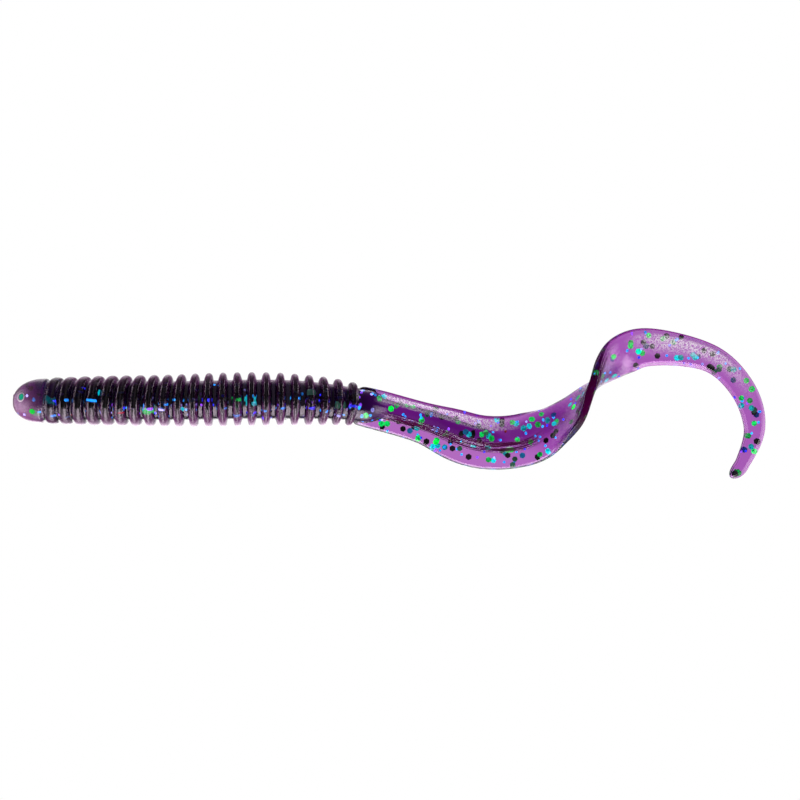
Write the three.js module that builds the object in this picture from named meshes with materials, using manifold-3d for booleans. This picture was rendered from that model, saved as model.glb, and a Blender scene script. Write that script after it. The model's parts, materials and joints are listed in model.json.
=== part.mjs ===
// Soft plastic worm: a ribbed round body and a flat ribbon tail that turns over once and ends in a sickle.
// Millimetres. +X runs from the nose to the tail, +Z is up, +Y is the far side.
// The origin is the centre of the small flat face on the nose.
//
// The real worm is one soft moulding that holds loose glitter flakes. It bends all along its length,
// so here the moulding is divided at its flex lines into short stiff sections, each hinged to the next.

import * as THREE from 'three';
import { mergeVertices } from 'three/addons/utils/BufferGeometryUtils.js';
import Module from 'manifold-3d';

const wasm = await Module();
wasm.setup();

// ---------- driving dimensions ----------

// The centreline passes through these points, from the nose to the tip of the tail.
const CENTRELINE = [
  [0, 0, 0], [4.9, -1.05, -0.1], [10.85, -2.2, -0.1], [16.7, -3.2, -0.1], [22.6, -3.9, -0.1],
  [28.5, -4.2, 0], [34.45, -4.1, 0.1], [40.4, -3.7, 0], [46.1, -2.85, -0.4], [50.2, -2.1, -1.2],
  [57.3, -0.8, -3.2], [65.3, 0.3, -5.85], [72.3, 0.8, -5.35], [77.55, 0.4, -2.3], [81.15, -0.6, 1.95],
  [85.3, -1.5, 6.32], [89.9, -2, 7.35], [97.5, -1.9, 5.75], [102, -1.6, 1.4], [103.6, -1.3, -3.9],
  [102, -1.1, -8.7], [100.3, -1, -10.85],
];

// Nose and ribbed body. Places along the worm are distances from the nose, measured on the centreline.
const NOSE_FLAT_RADIUS = 0.8;
const NOSE_SPARE = 0.4;
const HEAD_LENGTH = 5;
const HEAD_RADIUS = 3.09;
const DOME_LENGTH = 4.3;
const DOME_POWER = 2.1;
const FIRST_GROOVE_FADE = 0.45;
const RIB_COUNT = 22;
const FIRST_RIB = 6.12;
const RIB_PITCH = 1.981;
const RIB_CREST_POWER = 2.2;

// Each table lists [place, value], and values between the places follow a smooth curve.
const RIB_RADIUS = [
  [6.1, 3.28], [12.3, 3.47], [20.3, 3.6], [28.3, 3.78], [36.3, 3.76], [41.3, 3.55], [45.3, 3.3], [47.3, 3.06],
];
const RIB_WIDTH = [[6.1, 1.6], [16, 1.5], [26, 1.25], [47.5, 1.12]];
const CORE_RADIUS = [[5.3, 2.85], [16.3, 2.72], [24.3, 2.72], [39.3, 2.72], [44.3, 2.5], [47.8, 2.3]];
const RIB_LEAN_DEG = [[6.3, 5.2], [12.3, 5.5], [22.3, 4], [28.3, 1.3], [36.3, 0], [42.3, -2], [47.3, -2.5]];

// Ribbon tail. The ridge is the round spine that carries on from the body and fades out on the paddle.
const BODY_END = 48.4;
const TAIL_HALF_WIDTH = [
  [48.1, 2.4], [49.4, 2.75], [58.2, 2.9], [62.8, 3.58], [66.8, 3.75], [73.6, 3.72], [85.7, 3.4],
  [90.7, 3.08], [96.8, 2.55], [100.9, 2.18], [104.6, 1.93], [113.7, 1.7], [117.4, 1.42], [121.6, 1.05],
];
const TAIL_HALF_THICKNESS = [
  [48.4, 0.7], [60.4, 0.5], [73.4, 0.53], [78.4, 0.68], [88.4, 0.68], [94.4, 0.56], [122.4, 0.5],
];
const TAIL_EDGE_POWER = 4;
const TIP_ROUNDING = 2;
const TIP_BLUNTNESS = 0.15;
const RIDGE_RADIUS = [[48.4, 2.3], [50.6, 2.15], [53, 1.25], [61.4, 1.35], [68.4, 1.05], [73.4, 0.3]];
const RIDGE_SHIFT = [[48.4, 0], [52.4, -0.35], [62.4, -0.65], [69.4, -0.45], [73.4, 0.6]];
const RIDGE_END = 73.6;
const RIDGE_FADE = 6;

// How far the ribbon has turned over about its own centreline, half a turn in all.
const TURN_DEG = [
  [73, 0], [75.4, 20], [77.9, 43], [81.3, 62], [85.7, 92], [89.4, 129], [92.4, 164], [96, 180],
];

// Flex lines: a hinge at a centreline point. Across bends the ribbon like a page, edgeways within its plane.
const HINGE_GAP = 0.3;
const SPARE_ANGLE_DEG = 1;
const HINGES = [
  { point: 2, across: true, limit: 11 },
  { point: 3, across: false, limit: 11 },
  { point: 4, across: true, limit: 11 },
  { point: 5, across: false, limit: 11 },
  { point: 6, across: true, limit: 11 },
  { point: 7, across: false, limit: 11 },
  { point: 9, across: true, limit: 12 },
  { point: 10, across: true, limit: 12 },
  { point: 11, across: true, limit: 12 },
  { point: 12, across: true, limit: 14 },
  { point: 13, across: true, limit: 14 },
  { point: 14, across: true, limit: 14 },
  { point: 15, across: true, limit: 14 },
  { point: 16, across: false, limit: 8 },
  { point: 17, across: true, limit: 14 },
  { point: 18, across: false, limit: 8 },
  { point: 19, across: true, limit: 14 },
  { point: 20, across: false, limit: 8 },
];
const SECTION_NAMES = [
  'head', 'body_1', 'body_2', 'body_3', 'body_4', 'body_5', 'body_6', 'tail_root', 'stem', 'paddle',
  'turn_1', 'turn_2', 'turn_3', 'sickle_1', 'sickle_2', 'sickle_3', 'sickle_4', 'sickle_5', 'tail_tip',
];

// Glitter flakes: thin hexagons set into the surface.
const FLAKE_ACROSS = 0.89;
const FLAKE_THICKNESS = 0.1;
const FLAKE_POCKET_GAP = 0.04;
const FLAKE_PROUD = 0.02;
const FLAKES_PER_TAIL_SECTION = 3;
const SHORT_SECTION = 4;
const FLAKE_SEED = 7;

// The head's flakes, each as [place, angle round the section].
const HEAD_FLAKES = [[3.7, -1.05], [1.9, -1.75], [3.1, 1.9]];

// Fineness of the faceted solids.
const BODY_SIDES = 24;
const TAIL_SIDES = 28;
const TAIL_STEP = 1.4;
const CLOSEST_RINGS = 0.02;

// ---------- materials ----------

const plastic = {
  head: new THREE.MeshStandardMaterial({ color: 0x4a2350, roughness: 0.25, metalness: 0 }),
  body: new THREE.MeshStandardMaterial({ color: 0x2d1433, roughness: 0.25, metalness: 0 }),
  tail: new THREE.MeshStandardMaterial({ color: 0x8c35a6, roughness: 0.3, metalness: 0 }),
};
const foil = {
  green: new THREE.MeshStandardMaterial({ color: 0x12d84e, roughness: 0.2, metalness: 0.9 }),
  teal: new THREE.MeshStandardMaterial({ color: 0x18e0c0, roughness: 0.2, metalness: 0.9 }),
  blue: new THREE.MeshStandardMaterial({ color: 0x3058f0, roughness: 0.2, metalness: 0.9 }),
};

// ---------- centreline and cross-sections ----------

const SPAN_STEPS = 40;
const centreline = new THREE.CatmullRomCurve3(
  CENTRELINE.map(([x, y, z]) => new THREE.Vector3(x, y, z)), false, 'catmullrom', 0.5,
);
centreline.arcLengthDivisions = SPAN_STEPS * (CENTRELINE.length - 1);
const WORM_LENGTH = centreline.getLength();
const FAR_SIDE = new THREE.Vector3(0, 1, 0);

const radians = THREE.MathUtils.degToRad;

// Distance from the nose of a numbered centreline point.
function placeOfPoint(number) {
  return centreline.getLengths()[number * SPAN_STEPS];
}

// A smooth curve through a table of [place, value], level beyond its ends.
function along(table, place) {
  const last = table.length - 1;
  if (place <= table[0][0]) return table[0][1];
  if (place >= table[last][0]) return table[last][1];
  const i = table.findIndex((row, n) => place < table[n + 1][0]);
  const slope = (n) => {
    const low = table[Math.max(n - 1, 0)];
    const high = table[Math.min(n + 1, last)];
    return (high[1] - low[1]) / (high[0] - low[0]);
  };
  const [from, start] = table[i];
  const [to, end] = table[i + 1];
  const span = to - from;
  const t = (place - from) / span;
  const t2 = t * t;
  const t3 = t2 * t;
  return (2 * t3 - 3 * t2 + 1) * start + (t3 - 2 * t2 + t) * span * slope(i)
    + (3 * t2 - 2 * t3) * end + (t3 - t2) * span * slope(i + 1);
}

// The centreline's point and directions at a place: along it, across the ribbon's width, and through it.
function frameAt(place) {
  const share = THREE.MathUtils.clamp(place / WORM_LENGTH, 0, 1);
  const forward = centreline.getTangentAt(share);
  const point = centreline.getPointAt(share).addScaledVector(forward, place - share * WORM_LENGTH);
  const width = new THREE.Vector3().crossVectors(FAR_SIDE, forward).normalize();
  width.applyAxisAngle(forward, -radians(along(TURN_DEG, place)));
  const through = new THREE.Vector3().crossVectors(forward, width);
  return { point, forward, width, through };
}

// The rounded nose, from its flat to the widest part of the head.
function domeRadius(place) {
  const t = THREE.MathUtils.clamp(place / DOME_LENGTH, 0, 1);
  const dome = (1 - (1 - t) ** DOME_POWER) ** (1 / DOME_POWER);
  return Math.max(NOSE_FLAT_RADIUS, HEAD_RADIUS * dome);
}

// Outer radius of the ribbed body.
function bodyRadius(place) {
  const core = along(CORE_RADIUS, place);
  const rib = Math.round((place - FIRST_RIB) / RIB_PITCH);
  if (rib < 0) {
    const fade = THREE.MathUtils.smoothstep(place, HEAD_LENGTH - FIRST_GROOVE_FADE, HEAD_LENGTH);
    return THREE.MathUtils.lerp(domeRadius(place), core, fade);
  }
  if (rib >= RIB_COUNT) return core;
  const centre = FIRST_RIB + rib * RIB_PITCH;
  const off = Math.abs(place - centre) / (along(RIB_WIDTH, centre) / 2);
  if (off >= 1) return core;
  const crest = Math.pow(1 - off ** RIB_CREST_POWER, 1 / RIB_CREST_POWER);
  return core + (along(RIB_RADIUS, centre) - core) * crest;
}

// Half the ribbon's width, rounded off at the tip.
function tailHalfWidth(place) {
  const left = THREE.MathUtils.clamp((WORM_LENGTH - place) / TIP_ROUNDING, 0, 1);
  const rounding = Math.sqrt(1 - (1 - left) ** 2);
  return along(TAIL_HALF_WIDTH, place) * Math.max(rounding, TIP_BLUNTNESS);
}

// Half the tail's thickness at a distance across its width.
function tailHalfThickness(place, across) {
  const off = Math.min(Math.abs(across) / tailHalfWidth(place), 1);
  const blade = along(TAIL_HALF_THICKNESS, place) * (1 - off ** TAIL_EDGE_POWER) ** (1 / TAIL_EDGE_POWER);
  if (place >= RIDGE_END) return blade;
  const radius = along(RIDGE_RADIUS, place);
  const ridgeOff = Math.min(Math.abs(across - along(RIDGE_SHIFT, place)) / radius, 1);
  return Math.hypot(blade, radius * Math.sqrt(1 - ridgeOff * ridgeOff) * ridgeShare(place));
}

// How much of the ridge is left as it fades into the paddle.
function ridgeShare(place) {
  return 1 - THREE.MathUtils.smoothstep(place, RIDGE_END - RIDGE_FADE, RIDGE_END);
}

// A point on the worm's skin. The angle runs round the section from the ribbon's lower edge.
function skinPoint(place, angle, fill = 1) {
  const frame = frameAt(place);
  let across;
  let out;
  if (place < BODY_END) {
    const radius = bodyRadius(place) * fill;
    across = radius * Math.cos(angle);
    out = radius * Math.sin(angle);
  } else {
    across = tailHalfWidth(place) * Math.cos(angle);
    out = Math.sign(Math.sin(angle)) * tailHalfThickness(place, across) * fill;
    across *= fill;
  }
  const lean = place < BODY_END ? Math.tan(radians(along(RIB_LEAN_DEG, place))) * -across : 0;
  return frame.point
    .addScaledVector(frame.width, across)
    .addScaledVector(frame.through, out)
    .addScaledVector(frame.forward, lean);
}

// ---------- solids ----------

function toSolid(geometry) {
  const bare = geometry.clone();
  bare.deleteAttribute('normal');
  bare.deleteAttribute('uv');
  const merged = mergeVertices(bare, 1e-4);
  return new wasm.Manifold(new wasm.Mesh({
    numProp: 3,
    vertProperties: new Float32Array(merged.attributes.position.array),
    triVerts: new Uint32Array(merged.index.array),
  }));
}

function toGeometry(solid) {
  const mesh = solid.getMesh();
  const geometry = new THREE.BufferGeometry();
  geometry.setAttribute('position', new THREE.BufferAttribute(new Float32Array(mesh.vertProperties), 3));
  geometry.setIndex(new THREE.BufferAttribute(new Uint32Array(mesh.triVerts), 1));
  return geometry;
}

// A closed tube whose rings lie at the given places and follow the skin. Points off the rim close its ends.
function skinTube(places, sides) {
  const rings = places.length - 1;
  const tube = new THREE.CylinderGeometry(1, 1, 1, sides, rings);
  const position = tube.attributes.position;
  for (let i = 0; i < position.count; i += 1) {
    const ring = Math.round((position.getY(i) + 0.5) * rings);
    const onRim = Math.hypot(position.getX(i), position.getZ(i)) > 0.5;
    const angle = Math.atan2(position.getX(i), position.getZ(i));
    const at = skinPoint(places[ring], angle, onRim ? 1 : 0);
    position.setXYZ(i, at.x, at.y, at.z);
  }
  return toSolid(tube);
}

// Everything on one side of a hinge line, as a block with a roof-shaped face: side 1 is towards the tail.
function hingeCutter(hinge, side) {
  const REACH = 6;
  const frame = frameAt(placeOfPoint(hinge.point));
  const axis = hinge.across ? frame.width : frame.through;
  const inward = frame.forward.clone().multiplyScalar(side);
  const outward = new THREE.Vector3().crossVectors(axis, inward);
  const slant = REACH * Math.tan(radians(hinge.limit / 2 + SPARE_ANGLE_DEG));
  const outline = new THREE.Shape();
  outline.moveTo(-HINGE_GAP / 2, 0);
  outline.lineTo(-HINGE_GAP / 2 - slant, -REACH);
  outline.lineTo(REACH, -REACH);
  outline.lineTo(REACH, REACH);
  outline.lineTo(-HINGE_GAP / 2 - slant, REACH);
  const block = new THREE.ExtrudeGeometry(outline, { depth: 2 * REACH, bevelEnabled: false });
  block.translate(0, 0, -REACH);
  block.applyMatrix4(new THREE.Matrix4().makeBasis(inward, outward, axis));
  block.translate(frame.point.x, frame.point.y, frame.point.z);
  return toSolid(block);
}

// Ring places for one section: rib by rib on the body, evenly spaced on the tail.
function ringPlaces(from, to) {
  const RIB_RINGS = [-1, -0.86, -0.42, 0.42, 0.86, 1];
  const HEAD_RINGS = [0, 0.08, 0.22, 0.45, 0.8, 1.3, 2, 2.9, 3.9, 4.55, 4.8];
  const TIP_RINGS = [0.5, 0.8, 0.94];
  const places = [from, to];
  HEAD_RINGS.forEach((place) => places.push(place));
  for (let rib = 0; rib < RIB_COUNT; rib += 1) {
    const centre = FIRST_RIB + rib * RIB_PITCH;
    RIB_RINGS.forEach((share) => places.push(centre + share * along(RIB_WIDTH, centre) / 2));
  }
  const steps = Math.ceil((WORM_LENGTH - BODY_END) / TAIL_STEP);
  for (let step = 0; step < steps; step += 1) {
    places.push(THREE.MathUtils.lerp(BODY_END, WORM_LENGTH, step / steps));
  }
  TIP_RINGS.forEach((share) => places.push(WORM_LENGTH - TIP_ROUNDING * (1 - share)));
  return places.filter((place) => place >= from && place <= to).sort((a, b) => a - b)
    .filter((place, i, all) => i === 0 || place - all[i - 1] > CLOSEST_RINGS);
}

// The block in front of the nose, where the moulding's sprue was cut off flat.
function noseTrim() {
  const DEPTH = 4;
  const block = new THREE.BoxGeometry(DEPTH, 4 * HEAD_RADIUS, 4 * HEAD_RADIUS);
  block.translate(-DEPTH / 2, 0, 0);
  return toSolid(block);
}

// ---------- glitter flakes ----------

let seed = FLAKE_SEED;
function random(low, high) {
  seed = (seed * 1103515245 + 12345) % 2147483648;
  return low + (high - low) * (seed / 2147483648);
}

// Where a flake lies: on the skin, facing out, turned by a random angle in its own plane.
function flakeSeat(place, angle) {
  const STEP = 0.15;
  const centre = skinPoint(place, angle);
  const ahead = skinPoint(place + STEP, angle).sub(skinPoint(place - STEP, angle));
  const round = skinPoint(place, angle + STEP).sub(skinPoint(place, angle - STEP));
  const outward = new THREE.Vector3().crossVectors(round, ahead).normalize();
  const side = ahead.normalize().applyAxisAngle(outward, random(0, Math.PI));
  const other = new THREE.Vector3().crossVectors(side, outward);
  return { centre, outward, basis: new THREE.Matrix4().makeBasis(side, outward, other) };
}

// A hexagonal plate whose top stands a little proud of the skin; grown, it is the pocket it sits in.
function flakePlate(seat, grow) {
  const radius = FLAKE_ACROSS / 2 + grow;
  const height = FLAKE_THICKNESS + grow + (grow > 0 ? FLAKE_ACROSS : 0);
  const plate = new THREE.CylinderGeometry(radius, radius, height, 6);
  const top = FLAKE_PROUD + (grow > 0 ? FLAKE_ACROSS : 0);
  plate.applyMatrix4(seat.basis);
  const middle = seat.centre.clone().addScaledVector(seat.outward, top - height / 2);
  plate.translate(middle.x, middle.y, middle.z);
  return plate;
}

// The places and angles of one section's flakes.
function flakeSpots(index, from, to) {
  const END_MARGIN = 1;
  const EDGE_MARGIN = 0.28;
  if (index === 0) return HEAD_FLAKES;
  if (from < BODY_END) return [];
  const count = to - from < SHORT_SECTION ? 1 : FLAKES_PER_TAIL_SECTION;
  const spots = [];
  for (let n = 0; n < count; n += 1) {
    const share = (n + random(0.25, 0.75)) / count;
    const place = THREE.MathUtils.lerp(from + END_MARGIN, to - END_MARGIN, share);
    const halfTurn = n % 2 === 0 ? -Math.PI : Math.PI;
    spots.push([place, random(EDGE_MARGIN, 1 - EDGE_MARGIN) * halfTurn]);
  }
  return spots;
}

// ---------- assembly ----------

const worm = new THREE.Group();
const cuts = [null, ...HINGES, null];
const tones = [foil.green, foil.teal, foil.blue];
const OVERRUN = 1;

SECTION_NAMES.forEach((name, index) => {
  const near = cuts[index];
  const far = cuts[index + 1];
  const from = near ? placeOfPoint(near.point) : 0;
  const to = far ? placeOfPoint(far.point) : WORM_LENGTH;
  const sides = to < BODY_END ? BODY_SIDES : TAIL_SIDES;
  let solid = skinTube(ringPlaces(near ? from - OVERRUN : -NOSE_SPARE, far ? to + OVERRUN : to), sides);
  if (near) solid = solid.subtract(hingeCutter(near, -1));
  if (far) solid = solid.subtract(hingeCutter(far, 1));
  if (!near) solid = solid.subtract(noseTrim());

  flakeSpots(index, from, to).forEach(([place, angle], n) => {
    const seat = flakeSeat(place, angle);
    solid = solid.subtract(toSolid(flakePlate(seat, FLAKE_POCKET_GAP)));
    const flake = new THREE.Mesh(flakePlate(seat, 0), tones[n % tones.length]);
    flake.name = `${name}_flake_${n + 1}`;
    worm.add(flake);
  });

  const kind = index === 0 ? 'head' : (from < BODY_END ? 'body' : 'tail');
  const section = new THREE.Mesh(toGeometry(solid), plastic[kind]);
  section.name = name;
  worm.add(section);
});

export default worm;
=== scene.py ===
import json
import math
import random

import bpy
import numpy as np
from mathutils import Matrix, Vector

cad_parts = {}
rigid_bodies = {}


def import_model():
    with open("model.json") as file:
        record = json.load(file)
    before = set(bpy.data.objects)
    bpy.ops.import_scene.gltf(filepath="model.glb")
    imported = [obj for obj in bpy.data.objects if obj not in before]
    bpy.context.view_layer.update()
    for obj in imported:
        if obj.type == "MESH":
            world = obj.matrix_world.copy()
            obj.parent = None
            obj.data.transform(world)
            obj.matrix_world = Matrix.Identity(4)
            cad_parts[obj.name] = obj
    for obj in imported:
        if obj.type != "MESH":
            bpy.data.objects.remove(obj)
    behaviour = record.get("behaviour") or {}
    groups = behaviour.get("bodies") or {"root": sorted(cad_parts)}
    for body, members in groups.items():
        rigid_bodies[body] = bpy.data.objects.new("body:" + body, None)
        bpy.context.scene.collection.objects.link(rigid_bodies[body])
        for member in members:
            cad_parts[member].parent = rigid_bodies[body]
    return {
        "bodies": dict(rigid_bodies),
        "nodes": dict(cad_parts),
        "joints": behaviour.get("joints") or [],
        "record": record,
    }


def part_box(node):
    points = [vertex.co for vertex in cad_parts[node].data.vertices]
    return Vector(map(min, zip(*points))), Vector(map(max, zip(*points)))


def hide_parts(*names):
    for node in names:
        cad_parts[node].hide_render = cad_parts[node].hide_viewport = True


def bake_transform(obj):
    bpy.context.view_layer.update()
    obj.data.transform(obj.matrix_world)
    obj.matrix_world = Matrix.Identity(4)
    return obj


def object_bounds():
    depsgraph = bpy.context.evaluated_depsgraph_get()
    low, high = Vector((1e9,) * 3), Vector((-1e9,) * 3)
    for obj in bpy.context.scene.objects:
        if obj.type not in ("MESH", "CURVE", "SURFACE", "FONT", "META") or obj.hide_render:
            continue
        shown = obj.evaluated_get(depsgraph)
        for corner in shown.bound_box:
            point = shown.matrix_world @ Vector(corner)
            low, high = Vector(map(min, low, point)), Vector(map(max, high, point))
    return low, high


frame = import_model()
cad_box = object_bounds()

# A soft plastic worm: a translucent purple moulding full of glitter. Its skin is one surface, lofted along
# a centreline through the CAD hinges and cut into one piece for each hinge.
#
# Lengths named here are in millimetres; the scene is in metres. A place is a distance along the centreline
# from the nose. A share says how far across the worm a point is: -1 at the top of the body and 1 at its
# underside. Past the half turn in the tail, 1 is at the top.
MM = 0.001

# ---------- driving dimensions, as in the CAD part ----------

# Centreline points that are not hinges: in the head, in the last ribbed section, and at the tail's tip.
HEAD_POINT = (4.9, -1.05, -0.1)
LAST_RIBS_POINT = (46.1, -2.85, -0.4)
TIP_POINT = (100.3, -1.0, -10.85)

NOSE_FLAT_RADIUS = 0.8
HEAD_LENGTH = 5.0
HEAD_RADIUS = 3.09
DOME_LENGTH = 4.3
DOME_POWER = 2.1
FIRST_GROOVE_FADE = 0.45
RIB_COUNT = 22
FIRST_RIB = 6.12
RIB_PITCH = 1.981
RIB_CREST_POWER = 2.2

# Each table lists (place, value); a smooth curve joins the values.
RIB_RADIUS = (
    (6.1, 3.28), (12.3, 3.47), (20.3, 3.6), (28.3, 3.78), (36.3, 3.76), (41.3, 3.55), (45.3, 3.3),
    (47.3, 3.06),
)
RIB_WIDTH = ((6.1, 1.6), (16, 1.5), (26, 1.25), (47.5, 1.12))
CORE_RADIUS = ((5.3, 2.85), (16.3, 2.72), (24.3, 2.72), (39.3, 2.72), (44.3, 2.5), (47.8, 2.3))
RIB_LEAN_DEG = ((6.3, 5.2), (12.3, 5.5), (22.3, 4), (28.3, 1.3), (36.3, 0), (42.3, -2), (47.3, -2.5))

BODY_END = 48.4
TAIL_HALF_WIDTH = (
    (48.1, 2.4), (49.4, 2.75), (58.2, 2.9), (62.8, 3.58), (66.8, 3.75), (73.6, 3.72), (85.7, 3.4),
    (90.7, 3.08), (96.8, 2.55), (100.9, 2.18), (104.6, 1.93), (113.7, 1.7), (117.4, 1.42), (121.6, 1.05),
)
TIP_ROUNDING = 2.0
RIDGE_RADIUS = ((48.4, 2.3), (50.6, 2.15), (53, 1.25), (61.4, 1.35), (68.4, 1.05), (73.4, 0.3))
RIDGE_SHIFT = ((48.4, 0), (52.4, -0.35), (62.4, -0.65), (69.4, -0.45), (73.4, 0.6))
RIDGE_END = 73.6
RIDGE_FADE = 6
TURN_START = 78.4
TURN_END = 92.4
TURN_DEG = (
    (73, 0), (75.4, 20), (77.9, 43), (81.3, 62), (85.7, 92), (89.4, 129), (92.4, 164), (96, 180),
)

# ---------- finer shape, for the skin only ----------

TALLEST_RIB = 1.06           # above the core
TO_TAIL = (BODY_END - 0.3, BODY_END + 0.5)   # places between which the round body becomes the ribbon
TIP_LEAST = 0.12             # the tip's last ring keeps this share of its width

BLADE_HALF_UPPER = 0.4       # half thickness of the stem above the ridge, at the ridge's foot
BLADE_HALF_RIM = 0.8         # and just under its upper rim
BLADE_HALF_LOWER = 0.46      # and below the ridge
BLADE_STEP = 0.6             # how far either side of the middle the upper one changes to the lower one
LEAST_BLADE = 0.5            # the blade above the ridge counts as at least this wide
RIM_FADE = (62, 70)          # the thicker rim fades out between these places
STEM_FADE = (70, 82)         # the stem's thickness changes to the sickle's between these
SICKLE_HALF = 0.56
EDGE_HALF = 0.3              # half thickness at the ribbon's rounded edge
EDGE_ROUND = 0.2             # how far in the rounding reaches
BEVEL_WIDTH = 0.45           # how far in the bevel behind it reaches
STEM_BEVEL_WIDTH = 0.15      # and on the stem
TWIST_HALF = 0.7             # half thickness of the blade and of its edge where the ribbon turns over
TWIST_EDGE_HALF = 0.6
TWIST_RISE = (73.4, 78.4)    # that thickness comes in and goes out between these places
TWIST_FALL = (88.4, 94.4)
TWIST_EDGE_RISE = (75.4, 80.4)
PADDLE_SWELL = 0.75          # thickening where the ridge runs out
PADDLE_PLACE = 72
PADDLE_REACH = 6             # how far it reaches along the worm
PADDLE_ACROSS = -1.1         # its middle, across the ribbon
PADDLE_WIDTH = 1.5           # how far it reaches across the ribbon
BUBBLE_PLACE = 1.8           # a small ring left by an air bubble, beside the nose
BUBBLE_ANGLE = -1.75
BUBBLE_RADIUS = 0.6
BUBBLE_LINE = 0.16

SIDES = 96                   # points round each section
BODY_STEP = 0.13             # ring spacing
TAIL_STEP = 0.24
TAIL_STEP_START = BODY_END + 2
DOME_RINGS = 34
FIRST_DOME_ANGLE = 0.06      # where the dome's first ring is, in radians from its pole
TIP_RINGS = 16

# ---------- glitter ----------

BIG_FLAKE = 0.89             # across corners
SMALL_FLAKE = 0.4
SIZE_SPREAD = (0.9, 1.08)
FLAKE_THICKNESS = 0.04
BODY_PER_MM3 = {"big": 0.06, "small": 0.3}
TAIL_PER_MM3 = {"big": 0.25, "small": 0.24}
TAIL_GLITTER = 52            # the tail's thicker glitter starts here
IN_THE_TURN = 0.3            # this share of the flakes where the ribbon turns over
SLICE = 0.5                  # flakes are counted out for one slice of the worm after another
FLAKE_MARGIN = 0.05          # free plastic round a flake's corners
BODY_COVER = 0.12            # free plastic between a flake's face and the skin
TAIL_COVER = 0.06
TIP_CLEAR = 0.8              # no flakes this close to the tip
LEAST_ROOM = 0.02            # where the ribbon is thinnest, flakes still lie up to this far off its middle
BODY_TILT = 0.6              # spread of the flakes' slopes
TAIL_TILT = 0.16
# painted glint: the most glow by emission that a body flake gets, where it faces down and to the front
BODY_PAINTED_GLINT = 1.3
BODY_PAINTED_SHADE = 0.1           # painted shade: share of its colour that a body flake keeps when it faces away from the painted light
PAINTED_LIT_FACING = (0.0, -0.85, -0.53)   # a body flake that faces this way is painted fully lit, as if it threw light from below to the front
PAINTED_LIT_RANGE = (0.65, 0.95)   # from none to all of its painted light, by the cosine of its angle to that way
# random spread of each flake's painted glint
PAINTED_GLINT_SPREAD = (0.5, 1.2)
SEED = 5

GREEN = (0.0, 0.8, 0.06)
TEAL = (0.0, 0.75, 0.45)
DEEP_BLUE = (0.01, 0.12, 0.3)
# colour and painted glint (a glow by emission) of the CAD surface flakes, by the last sign of their names
SURFACE_PAINTED_GLINT = {"1": (GREEN, 1.0), "2": (TEAL, 0.8), "3": (DEEP_BLUE, 0.4)}
HEAD_PAINTED_GLINT = 0.3              # the head's surface flakes are painted duller: a darker colour and a weaker painted glint

# Each row is a foil colour, its painted glint (the strength of its glow by emission), and how often it comes
# up.
TONES = {
    "big": (
        # In the next line, the near-black foil is painted shade, for flakes that catch no light.
        (GREEN, 2.2, 5), (TEAL, 2.2, 3), ((0.03, 0.3, 0.08), 0.5, 3), ((0.004, 0.02, 0.012), 0.0, 5),
    ),
    "small": (
        ((0.01, 0.55, 0.95), 2.6, 7), ((0.4, 0.7, 1.0), 2.4, 2), ((0.02, 0.05, 0.95), 2.6, 3),
        ((0.3, 0.12, 0.9), 2.0, 1.5), ((0.5, 0.0, 0.02), 0.7, 0.3),
    ),
}


def mix(a, b, t):
    return a + (b - a) * t


def smoothstep(value, low, high):
    t = np.clip((np.asarray(value, float) - low) / (high - low), 0, 1)
    return t * t * (3 - 2 * t)


def along(table, place):
    """Values of a smooth curve through a table of (place, value), level beyond its ends."""
    x = np.array([row[0] for row in table], float)
    y = np.array([row[1] for row in table], float)
    before = np.maximum(np.arange(len(x)) - 1, 0)
    after = np.minimum(np.arange(len(x)) + 1, len(x) - 1)
    slope = (y[after] - y[before]) / (x[after] - x[before])
    p = np.clip(np.asarray(place, float), x[0], x[-1])
    i = np.clip(np.searchsorted(x, p, side="right") - 1, 0, len(x) - 2)
    span = x[i + 1] - x[i]
    t = (p - x[i]) / span
    start = (2 * t**3 - 3 * t**2 + 1) * y[i] + (t**3 - 2 * t**2 + t) * span * slope[i]
    return start + (3 * t**2 - 2 * t**3) * y[i + 1] + (t**3 - t**2) * span * slope[i + 1]


# ---------- centreline ----------

def chain():
    """The hinges in order from the head, and the names of the bodies they join."""
    by_parent = {joint["parent"]: joint for joint in frame["joints"]}
    children = {joint["child"] for joint in frame["joints"]}
    name = next(body for body in frame["bodies"] if body not in children)
    bodies, hinges = [name], []
    while name in by_parent:
        hinges.append(by_parent[name])
        name = by_parent[name]["child"]
        bodies.append(name)
    return hinges, bodies


HINGES, BODIES = chain()
SPAN_STEPS = 40


def centreline_points():
    """Points that the centreline passes through, in millimetres, and which of them are hinges."""
    nose = frame["record"]["mounts"][0]["pos_m"]
    points = [np.array(nose, float) / MM, np.array(HEAD_POINT)]
    hinge_numbers = []
    for joint in HINGES:
        if joint["name"] == "stem_sway":
            points.append(np.array(LAST_RIBS_POINT))
        hinge_numbers.append(len(points))
        points.append(np.array(joint["pos_m"], float) / MM)
    points.append(np.array(TIP_POINT))
    return points, hinge_numbers


def catmull_rom(points):
    """A dense smooth line through the points."""
    line = []
    for i in range(len(points) - 1):
        p1, p2 = points[i], points[i + 1]
        p0 = points[i - 1] if i > 0 else 2 * p1 - p2
        p3 = points[i + 2] if i + 2 < len(points) else 2 * p2 - p1
        for step in range(SPAN_STEPS):
            t = step / SPAN_STEPS
            line.append(0.5 * (2 * p1 + (p2 - p0) * t + (2 * p0 - 5 * p1 + 4 * p2 - p3) * t**2
                               + (3 * p1 - p0 - 3 * p2 + p3) * t**3))
    line.append(points[-1])
    return np.array(line)


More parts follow.
